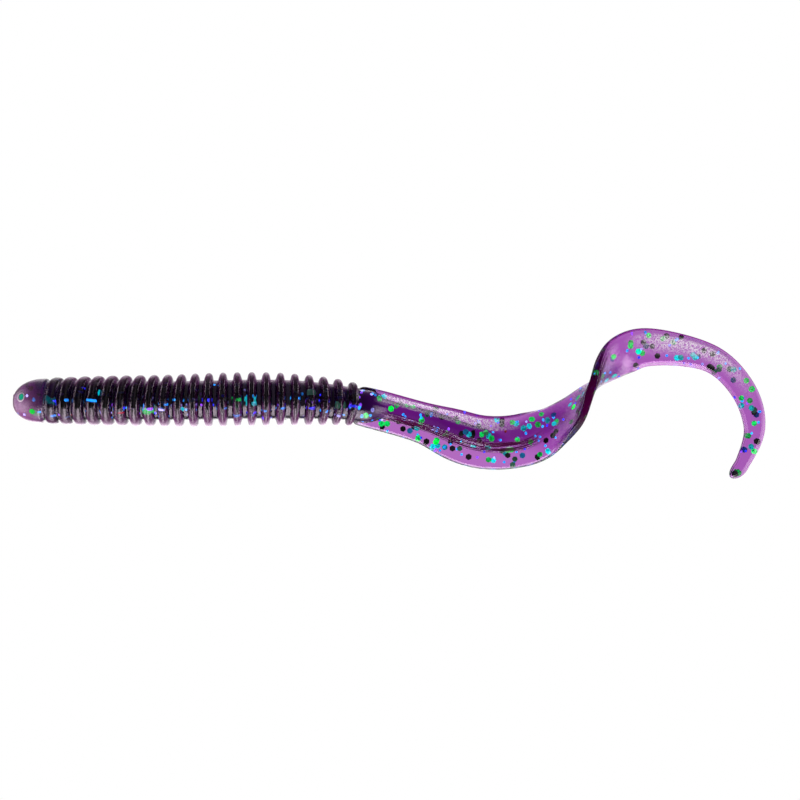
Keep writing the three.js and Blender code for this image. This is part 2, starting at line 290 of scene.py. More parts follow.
POINTS, HINGE_NUMBERS = centreline_points()
LINE = catmull_rom(POINTS)
LINE_PLACE = np.concatenate([[0], np.cumsum(np.linalg.norm(np.diff(LINE, axis=0), axis=1))])
WORM_LENGTH = LINE_PLACE[-1]
HINGE_PLACES = [LINE_PLACE[number * SPAN_STEPS] for number in HINGE_NUMBERS]


def unit(v):
    return v / np.linalg.norm(v, axis=-1, keepdims=True)


def on_line(place):
    """Points of the centreline at places."""
    return np.stack([np.interp(place, LINE_PLACE, LINE[:, k]) for k in range(3)], axis=-1)


def frames_at(place):
    """Centreline points and directions at places: along it, across the ribbon's width, and through it."""
    place = np.asarray(place, float)
    inside = np.clip(place, 0, WORM_LENGTH)
    gap = 0.25
    ahead = np.clip(inside + gap, 0, WORM_LENGTH)
    behind = np.clip(inside - gap, 0, WORM_LENGTH)
    forward = unit(on_line(ahead) - on_line(behind))
    point = on_line(inside) + forward * (place - inside)[..., None]
    width = unit(np.cross(np.array([0.0, 1.0, 0.0]), forward))
    through = np.cross(forward, width)
    turn = np.radians(along(TURN_DEG, place))[..., None]
    width, through = (
        width * np.cos(turn) - through * np.sin(turn),
        through * np.cos(turn) + width * np.sin(turn),
    )
    return point, forward, width, through


# ---------- cross-sections ----------

def dome_radius(place):
    t = np.clip(place / DOME_LENGTH, 0, 1)
    return np.maximum(NOSE_FLAT_RADIUS, HEAD_RADIUS * (1 - (1 - t) ** DOME_POWER) ** (1 / DOME_POWER))


def body_radius(place):
    """Outer radius of the head and the ribbed body."""
    core = along(CORE_RADIUS, place)
    rib = np.round((place - FIRST_RIB) / RIB_PITCH)
    centre = FIRST_RIB + rib * RIB_PITCH
    off = np.abs(place - centre) / (along(RIB_WIDTH, centre) / 2)
    crest = np.maximum(1 - np.minimum(off, 1) ** RIB_CREST_POWER, 0) ** (1 / RIB_CREST_POWER)
    ribbed = core + (along(RIB_RADIUS, centre) - core) * crest
    fade = smoothstep(place, HEAD_LENGTH - FIRST_GROOVE_FADE, HEAD_LENGTH)
    radius = np.where(rib < 0, mix(dome_radius(place), core, fade), ribbed)
    return np.where(rib >= RIB_COUNT, core, radius)


def tail_half_width(place):
    left = np.clip((WORM_LENGTH - place) / TIP_ROUNDING, 0, 1)
    return along(TAIL_HALF_WIDTH, place) * np.maximum(np.sqrt(1 - (1 - left) ** 2), TIP_LEAST)


def ridge_height(place, across):
    """Height of the ridge above the middle of the blade."""
    radius = along(RIDGE_RADIUS, place)
    off = np.clip((across - along(RIDGE_SHIFT, place)) / radius, -1, 1)
    left = 1 - smoothstep(place, RIDGE_END - RIDGE_FADE, RIDGE_END)
    return radius * np.sqrt(1 - off**2) * left


def stem_half_thickness(place, across, half_width):
    """Half the blade's thickness on the stem: thin at the ridge's foot, thicker up to the upper rim."""
    foot = along(RIDGE_SHIFT, place) - along(RIDGE_RADIUS, place)
    climb = np.clip((foot - across) / np.maximum(half_width + foot, LEAST_BLADE), 0, 1)
    upper = mix(BLADE_HALF_UPPER, BLADE_HALF_RIM, climb * (1 - smoothstep(place, *RIM_FADE)))
    return mix(BLADE_HALF_LOWER, upper, smoothstep(-across, -BLADE_STEP, BLADE_STEP))


def tail_half_thickness(place, across):
    """Half the ribbon's thickness at a distance across its width."""
    half_width = tail_half_width(place)
    edge = np.maximum(half_width - np.abs(across), 0)
    on_stem = 1 - smoothstep(place, *STEM_FADE)
    in_turn = smoothstep(place, *TWIST_RISE) * (1 - smoothstep(place, *TWIST_FALL))
    stem = stem_half_thickness(place, across, half_width)
    flat = mix(mix(SICKLE_HALF, stem, on_stem), TWIST_HALF, in_turn)
    ahead = (place - PADDLE_PLACE) / PADDLE_REACH
    beside = (across - PADDLE_ACROSS) / PADDLE_WIDTH
    flat = flat + PADDLE_SWELL * np.exp(-(ahead**2) - beside**2)
    rounding = np.clip(edge / EDGE_ROUND, 0, 1)
    edge_half = mix(EDGE_HALF, TWIST_EDGE_HALF, in_turn * smoothstep(place, *TWIST_EDGE_RISE))
    rounded = edge_half * np.sqrt(1 - (1 - rounding) ** 2)
    bevel = np.clip((edge - EDGE_ROUND) / mix(BEVEL_WIDTH, STEM_BEVEL_WIDTH, on_stem), 0, 1)
    blade = rounded + (flat - edge_half) * bevel
    return np.hypot(blade, np.where(place < RIDGE_END, ridge_height(place, across), 0))


def section(place, angle):
    """Distances across and through the worm of its skin, at places and at angles round the section."""
    place, angle = np.broadcast_arrays(np.asarray(place, float), np.asarray(angle, float))
    radius = body_radius(place)
    across_tail = tail_half_width(place) * np.cos(angle)
    out_tail = np.sign(np.sin(angle)) * tail_half_thickness(place, across_tail)
    to_tail = smoothstep(place, *TO_TAIL)
    across = mix(radius * np.cos(angle), across_tail, to_tail)
    out = mix(radius * np.sin(angle), out_tail, to_tail)
    return across, out


def skin_points(place, angle):
    """Points of the skin in millimetres, at places and at angles round the section."""
    place, angle = np.broadcast_arrays(np.asarray(place, float), np.asarray(angle, float))
    across, out = section(place, angle)
    point, forward, width, through = frames_at(place)
    lean = np.tan(np.radians(along(RIB_LEAN_DEG, place))) * -across * (place < BODY_END)
    return point + width * across[..., None] + through * out[..., None] + forward * lean[..., None]


# ---------- skin ----------

def ring_places():
    """Places of the skin's rings: close together on the ribs and at the rounded ends."""
    dome = DOME_LENGTH * (1 - np.cos(np.linspace(FIRST_DOME_ANGLE, math.pi / 2, DOME_RINGS)))
    body = np.arange(DOME_LENGTH + BODY_STEP / 2, TAIL_STEP_START, BODY_STEP)
    tail = np.arange(TAIL_STEP_START, WORM_LENGTH - TIP_ROUNDING, TAIL_STEP)
    tip = WORM_LENGTH - TIP_ROUNDING * (1 - np.sin(np.linspace(0, math.pi / 2, TIP_RINGS)))
    return np.concatenate([[0.0], dome, body, tail, tip])


def section_middles():
    """The place halfway along each stiff section, where one skin piece meets the next."""
    edges = [0.0] + HINGE_PLACES + [WORM_LENGTH]
    return [(edges[i] + edges[i + 1]) / 2 for i in range(len(edges) - 1)]


ANGLES = np.arange(SIDES) * 2 * math.pi / SIDES
MIDDLES = section_middles()
PLACES = np.unique(np.round(np.concatenate([ring_places(), MIDDLES]), 4))


def skin_grid():
    """The skin's points and normals, ring by ring."""
    grid = skin_points(PLACES[:, None], ANGLES[None, :])
    grid[..., 0] = np.maximum(grid[..., 0], 0)
    round_it = np.roll(grid, -1, axis=1) - np.roll(grid, 1, axis=1)
    ahead = np.empty_like(grid)
    ahead[1:-1] = grid[2:] - grid[:-2]
    ahead[0] = grid[1] - grid[0]
    ahead[-1] = grid[-1] - grid[-2]
    normals = np.cross(round_it, ahead)
    return grid, unit(normals)


GRID, NORMALS = skin_grid()


def fill(mesh_name, points, faces):
    mesh = bpy.data.meshes.new(mesh_name)
    mesh.from_pydata([tuple(p) for p in points], [], faces)
    mesh.update()
    return mesh


def put_in_scene(mesh):
    thing = bpy.data.objects.new(mesh.name, mesh)
    bpy.context.scene.collection.objects.link(thing)
    return thing


def add_values(mesh, name, values):
    layer = mesh.attributes.new(name, "FLOAT", "POINT")
    layer.data.foreach_set("value", np.asarray(values, np.float32).ravel())


def bend(piece):
    """Bakes a piece's transform into its mesh."""
    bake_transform(piece)


def blend_ends(first, last, place_a, place_b):
    """Two points, in metres, just past a piece's end rings on the chord between two places: where a bend of
    it would start and stop.
    """
    a = frames_at(np.array([place_a]))[0][0]
    b = frames_at(np.array([place_b]))[0][0]
    chord = unit(b - a)
    spare = 0.05
    start = a + chord * (max(0, ((first - a) @ chord).max()) + spare)
    end = b + chord * (min(0, ((last - b) @ chord).min()) - spare)
    return start * MM, end * MM


def rib_height(place):
    """How far the skin stands out from the core, as a share of the tallest rib."""
    core = along(CORE_RADIUS, place)
    height = np.where(place < BODY_END, body_radius(place) - core, 0)
    return np.clip(height / TALLEST_RIB, 0, 1)


def piece_span(number):
    """The places between which skin piece number lies."""
    low = 0.0 if number == 0 else MIDDLES[number]
    high = WORM_LENGTH if number == len(HINGES) - 1 else MIDDLES[number + 1]
    return low, high


def side_faces(rows):
    """Faces between neighbouring rings of points."""
    faces = []
    for row in range(rows - 1):
        a, b = row * SIDES, (row + 1) * SIDES
        for side in range(SIDES):
            after = (side + 1) % SIDES
            faces.append((a + side, a + after, b + after, b + side))
    return faces


def cap_faces(centre, first_corner, turned):
    """Faces from a ring of points to its centre; turned ones face the nose."""
    faces = []
    for side in range(SIDES):
        pair = (first_corner + side, first_corner + (side + 1) % SIDES)
        faces.append((centre,) + (pair[::-1] if turned else pair))
    return faces


def make_skin(number, material):
    """One piece of the skin, and the two points where a bend of it would start and stop."""
    low, high = piece_span(number)
    first = int(np.argmin(np.abs(PLACES - low)))
    last = int(np.argmin(np.abs(PLACES - high)))
    rows = last - first + 1
    points = GRID[first:last + 1].reshape(-1, 3)
    normals = NORMALS[first:last + 1].reshape(-1, 3)
    faces = side_faces(rows)
    places = np.repeat(PLACES[first:last + 1], SIDES)
    shares = np.tile(np.cos(ANGLES), rows)
    crests = rib_height(places)
    ends = []
    if number == 0:
        ends.append((0, -1))
    if number == len(HINGES) - 1:
        ends.append((rows - 1, 1))
    for ring, direction in ends:
        faces += cap_faces(len(points), ring * SIDES, direction < 0)
        rim = points[ring * SIDES:(ring + 1) * SIDES]
        points = np.vstack([points, rim.mean(axis=0)])
        facing = frames_at(np.array([PLACES[first + ring]]))[1][0] * direction
        normals = np.vstack([normals, facing])
        places = np.append(places, PLACES[first + ring])
        shares = np.append(shares, 0)
        crests = np.append(crests, 0)
    mesh = fill(f"skin_{HINGES[number]['name']}", points * MM, faces)
    mesh.polygons.foreach_set("use_smooth", [True] * len(mesh.polygons))
    from_bubble = np.linalg.norm(points - skin_points(BUBBLE_PLACE, BUBBLE_ANGLE), axis=1)
    add_values(mesh, "place", places)
    add_values(mesh, "share", shares)
    add_values(mesh, "crest", crests)
    add_values(mesh, "from_bubble", from_bubble)
    mesh.normals_split_custom_set_from_vertices([tuple(n) for n in normals])
    mesh.materials.append(material)
    skin = put_in_scene(mesh)
    start, end = blend_ends(GRID[first], GRID[last], low if number else MIDDLES[0],
                            high if number < len(HINGES) - 1 else MIDDLES[-1])
    bend(skin)
    return skin, start, end


# ---------- glitter flakes ----------

def hexagon(centre, normal, across, rng):
    """The points and faces of a thin hexagonal plate."""
    side = Vector(normal).orthogonal().normalized()
    other = Vector(normal).cross(side)
    spin = rng.uniform(0, math.pi / 3)
    points = []
    for level in (-0.5, 0.5):
        for corner in range(6):
            angle = spin + corner * math.pi / 3
            offset = (side * math.cos(angle) + other * math.sin(angle)) * across / 2
            points.append(Vector(centre) + offset + Vector(normal) * FLAKE_THICKNESS * level)
    faces = [(5, 4, 3, 2, 1, 0), (6, 7, 8, 9, 10, 11)]
    faces += [(k, (k + 1) % 6, (k + 1) % 6 + 6, k + 6) for k in range(6)]
    return points, faces


def expected_flakes(place, length, kind):
    """How many flakes of a kind a slice of the worm holds on average, round the place in its middle."""
    ring = GRID[int(np.argmin(np.abs(PLACES - place)))]
    centre = frames_at(np.array([place]))[0][0]
    spokes = ring - centre
    area = 0.5 * np.linalg.norm(np.cross(spokes, np.roll(spokes, -1, axis=0)), axis=1).sum()
    per_mm3 = BODY_PER_MM3 if place < TAIL_GLITTER else TAIL_PER_MM3
    expected = area * length * per_mm3[kind]
    return expected * IN_THE_TURN if TURN_START < place < TURN_END else expected


def scatter(low, high, kind, across, rng):
    """Random flakes inside the plastic between two places: their points, faces, colours and painted glints.
    """
    found = []
    place = low
    while place < high:
        length = min(SLICE, high - place)
        expected = expected_flakes(place + length / 2, length, kind)
        count = int(expected) + (rng.random() < expected - int(expected))
        for _ in range(count):
            at = place + rng.random() * length
            flake = one_flake(at, across, rng)
            if flake is not None:
                # Body flakes are painted lit or shaded by which way they face: the gain scales both their
                # colour and their painted glint.
                painted_light = body_painted_light(flake[1]) if at < BODY_END else 1.0
                points, faces = hexagon(*flake, across * rng.uniform(*SIZE_SPREAD), rng)
                colour, painted_glint = pick_tone(kind, rng)
                colour = tuple(c * mix(BODY_PAINTED_SHADE, 1, min(painted_light, 1)) for c in colour)
                found.append((points, faces, colour, painted_glint * painted_light))
        place += SLICE
    return found


def body_painted_light(normal):
    """How much painted light a flake in the dark body gets: only those that face down and to the front are
    painted bright and glint; the others are painted dark.
    """
    return BODY_PAINTED_GLINT * float(smoothstep(np.dot(normal, PAINTED_LIT_FACING), *PAINTED_LIT_RANGE))


def one_flake(place, across, rng):
    """The centre and the normal of a random flake, or None where a flake doesn't fit."""
    point, forward, width, through = (v[0] for v in frames_at(np.array([place])))
    clear = across / 2 + FLAKE_MARGIN
    if place < BODY_END:
        wide = along(CORE_RADIUS, place) if place > HEAD_LENGTH else body_radius(np.array(place))
        radius = float(wide) - BODY_COVER
        if radius < clear:
            return None
        r = radius * math.sqrt(rng.random())
        angle = rng.uniform(0, 2 * math.pi)
        r = min(r, math.sqrt(radius**2 - clear**2))
        normal = width * math.cos(angle) + through * math.sin(angle)
        centre = point + normal * r
        tilt = BODY_TILT
    else:
        half = float(tail_half_width(np.array(place))) - clear
        if half <= 0 or place > WORM_LENGTH - TIP_CLEAR:
            return None
        offset = rng.uniform(-half, half)
        half_thickness = float(tail_half_thickness(np.array(place), np.array(offset)))
        room = max(half_thickness - FLAKE_THICKNESS - TAIL_COVER, LEAST_ROOM)
        centre = point + width * offset + through * rng.uniform(-room, room)
        normal = through
        tilt = TAIL_TILT
    for direction in (forward, width):
        normal = normal + direction * rng.gauss(0, tilt)
    return centre, unit(normal)


def pick_tone(kind, rng):
    """A foil's colour and its painted glint, which makes it glow; some foils are painted black, as flakes in
    shade.
    """
    tones = TONES[kind]
    colour, painted_glint, _ = rng.choices(tones, [row[2] for row in tones])[0]
    return colour, painted_glint * rng.uniform(*PAINTED_GLINT_SPREAD)


def make_flakes(number, materials):
    """The flakes inside one piece of the skin, as one piece for the big ones and one for the small ones."""
    low, high = piece_span(number)
    rng = random.Random(SEED + number)
    for kind, across in (("big", BIG_FLAKE), ("small", SMALL_FLAKE)):
        points, faces, tones, painted_glints = [], [], [], []
        flakes = scatter(low, high, kind, across, rng)
        if kind == "big":
            flakes += surface_flakes(low, high)
        for flake_points, flake_faces, colour, painted_glint in flakes:
            base = len(points)
            points += [tuple(p) for p in flake_points]
            faces += [tuple(base + i for i in face) for face in flake_faces]
            tones += [(*colour, 1.0)] * len(flake_points)
            painted_glints += [painted_glint] * len(flake_points)
        mesh = fill(f"{kind}_flakes_{HINGES[number]['name']}", np.array(points) * MM, faces)
        layer = mesh.attributes.new("tone", "FLOAT_COLOR", "POINT")
        layer.data.foreach_set("color", np.array(tones, np.float32).ravel())
        # the painted glint of each flake, for the foil's emission
        add_values(mesh, "painted_glint", painted_glints)
        mesh.materials.append(materials[kind])
        piece = put_in_scene(mesh)
        bend(piece)
        if kind == "big" and surface_flake_nodes(low, high):
            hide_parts(*surface_flake_nodes(low, high))


def surface_flake_nodes(low, high):
    """The CAD flakes whose nearest centreline place lies between two places."""
    names = []
    for name in frame["nodes"]:
        if "_flake_" in name:
            lowest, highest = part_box(name)
            middle = np.array((lowest + highest) / 2) / MM
            place = LINE_PLACE[int(np.argmin(np.linalg.norm(LINE - middle, axis=1)))]
            if low <= place < high:
                names.append(name)
    return names


def surface_flakes(low, high):
    """Copies of the CAD flakes between two places, in millimetres. A name's last sign tells its kind."""
    copies = []
    for name in surface_flake_nodes(low, high):
        mesh = frame["nodes"][name].data
        points = [np.array(v.co) / MM for v in mesh.vertices]
        faces = [tuple(p.vertices) for p in mesh.polygons]
        # the CAD flakes get a listed colour and painted glint; the head's are painted duller
        colour, painted_glint = SURFACE_PAINTED_GLINT[name[-1]]
        if name.startswith("head"):
            colour, painted_glint = tuple(HEAD_PAINTED_GLINT * c for c in colour), painted_glint * HEAD_PAINTED_GLINT
        copies.append((points, faces, colour, painted_glint))
    return copies


# ---------- materials ----------

class Nodes:
    """Short calls that add and link shader nodes."""

    def __init__(self, tree):
        self.tree = tree
        tree.nodes.clear()

    def add(self, kind, inputs=None, **settings):
        node = self.tree.nodes.new("ShaderNode" + kind)
        for key, value in settings.items():
            setattr(node, key, value)
        for key, value in (inputs or {}).items():
            socket = node.inputs[key]
            if isinstance(value, bpy.types.NodeSocket):
                self.tree.links.new(value, socket)
            else:
                socket.default_value = value
        return node

    def math(self, operation, *values):
        return self.add("Math", dict(enumerate(values)), operation=operation).outputs[0]

    def times(self, a, b):
        return self.math("MULTIPLY", a, b)

    def most(self, a, b):
        return self.math("MAXIMUM", a, b)

    def ramp(self, value, low, high, to_low=0.0, to_high=1.0):
        """A value that goes smoothly from to_low to to_high while another goes from low to high."""
        names = {"Value": value, "From Min": low, "From Max": high, "To Min": to_low, "To Max": to_high}
        return self.add("MapRange", names, interpolation_type="SMOOTHSTEP").outputs[0]

    def attribute(self, name, output="Fac"):
        return self.add("Attribute", attribute_name=name).outputs[output]

    def zone(self, name, rise, fall):
        """1 where an attribute lies between a rise and a fall, each given by its start and its end."""
        value = self.attribute(name)
        return self.times(self.ramp(value, *rise), self.ramp(value, *fall[::-1]))

    def patch(self, along_worm, across_worm):
        """1 on a patch of skin, given by a rise and a fall of place and then of share."""
        return self.times(self.zone("place", *along_worm), self.zone("share", *across_worm))

    def noise(self, scale, detail, roughness=0.5):
        where = self.add("TexCoord").outputs["Object"]
        inputs = {"Vector": where, "Scale": scale, "Detail": detail, "Roughness": roughness}
        return self.add("TexNoise", inputs).outputs["Fac"]

    def bump(self, height, strength, distance):
        return self.add("Bump", {"Strength": strength, "Distance": distance, "Height": height}).outputs[0]

    def colour_mix(self, share, a, b):
        """A colour that goes from a to b. Several sockets of this node share a name, so they go by number."""
        node = self.add("Mix", data_type="RGBA")
        for index, value in ((0, share), (6, a), (7, b)):
            if isinstance(value, bpy.types.NodeSocket):
                self.tree.links.new(value, node.inputs[index])
            else:
                node.inputs[index].default_value = value
        return node.outputs[2]

    def levels(self, value, table):
        """Strengths from rows of (degrees, strength), for a value that goes once round from 0 to 1."""
        node = self.add("ValToRGB", {"Fac": value})
        stops = node.color_ramp.elements    # there are two to start with
        for index, (degrees, strength) in enumerate(table):
            at = degrees / 360 + 0.5
            stop = stops[index] if index < 2 else stops.new(at)
            stop.position = at
            stop.color = (strength / BRIGHTEST,) * 3 + (1.0,)
        return self.times(node.outputs["Color"], BRIGHTEST)

    def pick(self, share, a, b):
        """A value that goes from a to b."""
        return self.math("ADD", self.times(self.math("SUBTRACT", 1.0, share), a), self.times(share, b))

    def mix(self, share, a, b):
        return self.add("MixShader", {0: share, 1: a, 2: b}).outputs[0]

    def finish(self, shader):
        self.add("OutputMaterial", {"Surface": shader})


def new_material(name):
    material = bpy.data.materials.new(name)
    material.use_nodes = True
    return material, Nodes(material.node_tree)


PASSED_PER_MM = (0.44, 0.13, 0.52)     # share of red, green and blue that passes through a millimetre
ENTRY_MM = 0.5                         # this much of the path is coloured where light enters
PLASTIC_IOR = 1.45
NOSE_DEPTH = 1.0                       # the nose swallows light as if paths were this many times longer
BODY_DEPTH = 1.7                       # and the body
NOSE_TO_BODY = (1.5, 8)                # places between which one depth changes to the other
TURN_DEPTH = 0.8                       # and the half turn, within this rise and fall
IN_TURN = ((TURN_START, TURN_START + 3), (TURN_END - 2, TURN_END + 1))
BODY_CLEAR_MM = 2.0                    # the first stretch inside the body is clear, so crests stay light
BODY_TO_TAIL = (BODY_END, BODY_END + 3)

# The skin's relief. Heights below are shares of RELIEF.
FINE_NOISE = 4600                      # in waves a metre
BROAD_NOISE = 700
RELIEF = 0.00006                       # in metres
SMOOTH_SKIN = 0.05                     # height of the fine noise where the skin is smooth
WRINKLED_SKIN = 1.2                    # and how much more there is where it is wrinkled
BROAD_WAVES = 0.3
LINES_ALONG = 0.22                     # the drawn lines' waves to a millimetre along the worm
LINES_ACROSS = 24.0                    # and from the worm's middle to its edge
RIDGE_LINES = 3.0                      # heights of the drawn lines
TURN_LINES = 1.5
BODY_LINES = 0.3

# Colours of the thin haze on the skin, wherever it isn't quite clear, and of the painted sheen and painted
# shade laid on it.
# haze on the ribs, and also a painted sheen on the tops of the ribbed body
RIB_HAZE_AND_TOP_SHEEN = (0.4, 0.07, 0.36, 1.0)
NOSE_HAZE = (0.4, 0.14, 0.32, 1.0)
# painted sheen: a whitish haze that stands for reflected light on the grain, the bubble's ring and the rib
# undersides
PAINTED_SHEEN_COLOUR = (0.72, 0.64, 0.72, 1.0)
RIM_HAZE = (0.42, 0.0, 0.46, 1.0)
# painted shade: a near-black diffuse laid along lines on the ridge's lower flank and the turned edge
PAINTED_SHADE_COLOUR = (0.03, 0.0, 0.018, 1.0)
GLOSS_TINT = (1.0, 0.84, 0.97, 1.0)
CLEAR_ROUGHNESS = 0.05
HAZE_ROUGHNESS = 0.35
INNER_ROUGHNESS = 0.02

# How much of each haze, painted sheen and painted shade there is at most, as a share of the skin.
ON_RIBS = 0.28
OVER_CORE = 0.3                        # this share of it where the dark core lies behind the ribs
ON_NOSE = 0.28
# painted sheen that lightens the tops of the ribbed body
ON_TOP_PAINTED_SHEEN = 0.5
# painted reflection of light from below, on the rib undersides
ON_UNDERSIDE_PAINTED_REFLECTION = 0.3
# painted highlight along the bubble's ring, which also has real relief
ON_RING_PAINTED_HIGHLIGHT = 0.6
ON_GRAIN_PAINTED_SHEEN = (0.12, 0.78)                # painted sheen, in the grain's hollows and on its tops
# painted shade on the drawn lines: most where they are low, little where they are high
ON_PAINTED_DARK_LINES = (0.95, 0.1)
ON_UPPER_RIM = 0.9
ON_LOWER_RIM = 0.3
ON_INNER_LINE = 0.35
ON_STEM_RIM = 0.85

# Ranges in which each haze, painted sheen and painted shade comes in, from none to all of it. How much the
# skin faces away goes from 0 to 1.
CURVED_AWAY = (0.08, 0.7)
GLANCING = (0.25, 0.7)
GRAIN_TOPS = (0.4, 0.58)               # of the fine noise
LINE_TOPS = (0.5, 0.57)                # of the drawn lines
NOSE_PLACES = (6, 2)
BODY_LINES_PLACES = (50, 48)
SICKLE_PLACES = (88, 96)
THIN_RIM_PLACES = (103, 110)           # the sickle's upper rim goes down to THIN_RIM here
THIN_RIM = 0.35
TOP_SHARES = (-0.65, -0.95)
UNDERSIDE_SHARES = (0.74, 0.93)
ABOVE_CORE_SHARES = (-0.5, -0.7)
BELOW_CORE_SHARES = (0.0, 0.3)
TURNED_SHARES = (0.55, 0.8)
UPPER_RIM_SHARES = (0.88, 0.93)
LOWER_RIM_SHARES = (-0.9, -0.96)
STEM_RIM_SHARES = (-0.86, -0.94)

# Patches of skin: a rise and a fall of place, and then of share.
STEM_GRAIN = (((50.8, 53), (66, 75)), ((-0.9, -0.84), (-0.5, -0.42)))
SICKLE_GRAIN = (((92, 98), (103, 114)), ((-0.6, 0.4), (0.55, 0.9)))
RIDGE_FLANK = (((51, 54), (73, 77)), ((-0.08, 0.02), (0.3, 0.4)))
RIBBED = ((5, 9), (46, 49))
TURN_LINED = ((75, 79), (89, 94))
TURNED_EDGE = ((79.5, 82.5), (88, 93))
STEM_RIM = ((50, 53), (70, 80))
INNER_LINE = ((-0.84, -0.8), (-0.78, -0.74))


def passed(length):
    """The colour of white light that has come through a length of plastic."""
    return tuple(share ** length for share in PASSED_PER_MM) + (1.0,)


def plastic(name):
    """Translucent purple plastic: what is seen through it is tinted by how far the light travels inside."""
    material, n = new_material(name)
    path = n.add("LightPath").outputs
    backfacing = n.add("NewGeometry").outputs["Backfacing"]
    tint = tint_inside(n, path["Ray Length"])
    fine = n.noise(FINE_NOISE, detail=3.0, roughness=0.6)
    grain = wrinkled_zones(n)
    ring = bubble_ring(n)
    lines = drawn_lines(n)
    bump = n.bump(relief(n, fine, grain, ring, lines), strength=0.7, distance=RELIEF)
    front = skin_front(n, bump, fine, grain, ring, lines)
    back = n.add("BsdfGlass", {
        "Color": tint, "Roughness": INNER_ROUGHNESS, "IOR": PLASTIC_IOR, "Normal": bump,
    }).outputs[0]
    seen = n.mix(backfacing, front, back)
    lamp_tint = n.colour_mix(backfacing, passed(ENTRY_MM), tint)
    lamp = n.add("BsdfTransparent", {"Color": lamp_tint}).outputs[0]
    n.finish(n.mix(path["Is Shadow Ray"], seen, lamp))
    return material


def tint_inside(n, ray_length):
    """The colour that a ray takes on inside the plastic."""
    place = n.attribute("place")
    nose_and_body = n.ramp(place, *NOSE_TO_BODY, NOSE_DEPTH, BODY_DEPTH)
    tail = n.pick(n.zone("place", *IN_TURN), 1.0, TURN_DEPTH)
    depth = n.pick(n.ramp(place, *BODY_TO_TAIL), nose_and_body, tail)
    length = n.times(n.times(ray_length, 1 / MM), depth)
    clear_mm = n.ramp(place, *BODY_TO_TAIL, BODY_CLEAR_MM, ENTRY_MM)
    inside = n.most(n.math("SUBTRACT", length, clear_mm), 0.0)
    channels = [n.math("POWER", share, inside) for share in PASSED_PER_MM]
    return n.add("CombineColor", dict(enumerate(channels))).outputs[0]


def relief(n, fine, grain, ring, lines):
    """The height of the skin's finest shape: wrinkles, soft waves, drawn lines and the bubble's ring."""
    wrinkles = n.times(fine, n.math("ADD", n.times(grain, WRINKLED_SKIN), SMOOTH_SKIN))
    height = n.math("ADD", wrinkles, n.times(n.noise(BROAD_NOISE, detail=2.0), BROAD_WAVES))
    height = n.math("ADD", height, n.times(lines, drawn_zones(n)))
    return n.math("ADD", height, ring)


def haze(n, colour, bump):
    """A cloudy skin of one colour; it also lays on the painted sheen."""
    return n.add("BsdfPrincipled", {
        "Base Color": colour, "Roughness": HAZE_ROUGHNESS, "IOR": PLASTIC_IOR, "Normal": bump,
    }).outputs[0]


def skin_front(n, bump, fine, grain, ring, lines):
    """The skin from outside: clear and glossy, with haze on the ribs, the nose and the rims, painted sheen on
    the rib tops, the grain, the bubble's ring and the rib undersides, and painted shade along some lines.
    """
    clear = n.add("BsdfPrincipled", {
        "Base Color": passed(2 * ENTRY_MM), "Roughness": CLEAR_ROUGHNESS, "IOR": PLASTIC_IOR,
        "Transmission Weight": 1.0, "Specular Tint": GLOSS_TINT, "Normal": bump,
    }).outputs[0]
    # Painted shade: a near-black diffuse skin.
    painted_shade = n.add("BsdfDiffuse", {"Color": PAINTED_SHADE_COLOUR, "Normal": bump}).outputs[0]
    facing = n.add("LayerWeight", {"Blend": 0.5, "Normal": bump}).outputs["Facing"]
    crest = n.attribute("crest")
    share = n.attribute("share")
    glancing = n.times(n.zone("place", *RIBBED), n.ramp(facing, *GLANCING))
    # Painted sheen: the tops of the ribbed body are painted lighter with the rib colour where they curve
    # away.
    painted_top_sheen = n.times(glancing, n.ramp(share, *TOP_SHARES, 0.0, ON_TOP_PAINTED_SHEEN))
    # Painted reflection: the rib undersides are painted lighter, as if they mirrored light from below.
    painted_underside_reflection = n.times(n.times(crest, n.ramp(share, *UNDERSIDE_SHARES, 0.0, ON_UNDERSIDE_PAINTED_REFLECTION)), glancing)
    on_nose = n.ramp(n.attribute("place"), *NOSE_PLACES, 0.0, ON_NOSE)
    # Painted sheen: a whitish haze on the wrinkled skin, standing for its grainy reflection of light.
    painted_sheen = n.times(grain, n.ramp(fine, *GRAIN_TOPS, *ON_GRAIN_PAINTED_SHEEN))
    # The bubble's ring gets a painted highlight, and the rib undersides their painted reflection.
    painted_sheen = n.most(n.most(painted_sheen, n.times(ring, ON_RING_PAINTED_HIGHLIGHT)), painted_underside_reflection)
    lined = n.most(n.patch(*RIDGE_FLANK), turned_edge(n))
    # Painted shade: dark lines on the ridge's lower flank and on the turned edge, where the drawn lines are
    # low.
    painted_dark_lines = n.times(lined, n.ramp(lines, *LINE_TOPS, *ON_PAINTED_DARK_LINES))
    front = n.mix(n.most(on_ribs(n, facing, crest, share), painted_top_sheen), clear, haze(n, RIB_HAZE_AND_TOP_SHEEN, bump))
    front = n.mix(on_nose, front, haze(n, NOSE_HAZE, bump))
    front = n.mix(rims(n, share), front, haze(n, RIM_HAZE, bump))
    front = n.mix(painted_dark_lines, front, painted_shade)
    return n.mix(painted_sheen, front, haze(n, PAINTED_SHEEN_COLOUR, bump))


def on_ribs(n, facing, crest, share):
    """Haze on the ribs, most where they curve away, and least where the dark core lies behind them."""
    beside_core = n.most(n.ramp(share, *ABOVE_CORE_SHARES), n.ramp(share, *BELOW_CORE_SHARES))
    in_sight = n.ramp(beside_core, 0.0, 1.0, OVER_CORE, 1.0)
    return n.times(n.times(crest, n.ramp(facing, *CURVED_AWAY, 0.0, ON_RIBS)), in_sight)


def wrinkled_zones(n):
    """1 where the moulding's skin is wrinkled: the stem above its ridge, and the middle of the sickle."""
    return n.most(n.patch(*STEM_GRAIN), n.patch(*SICKLE_GRAIN))


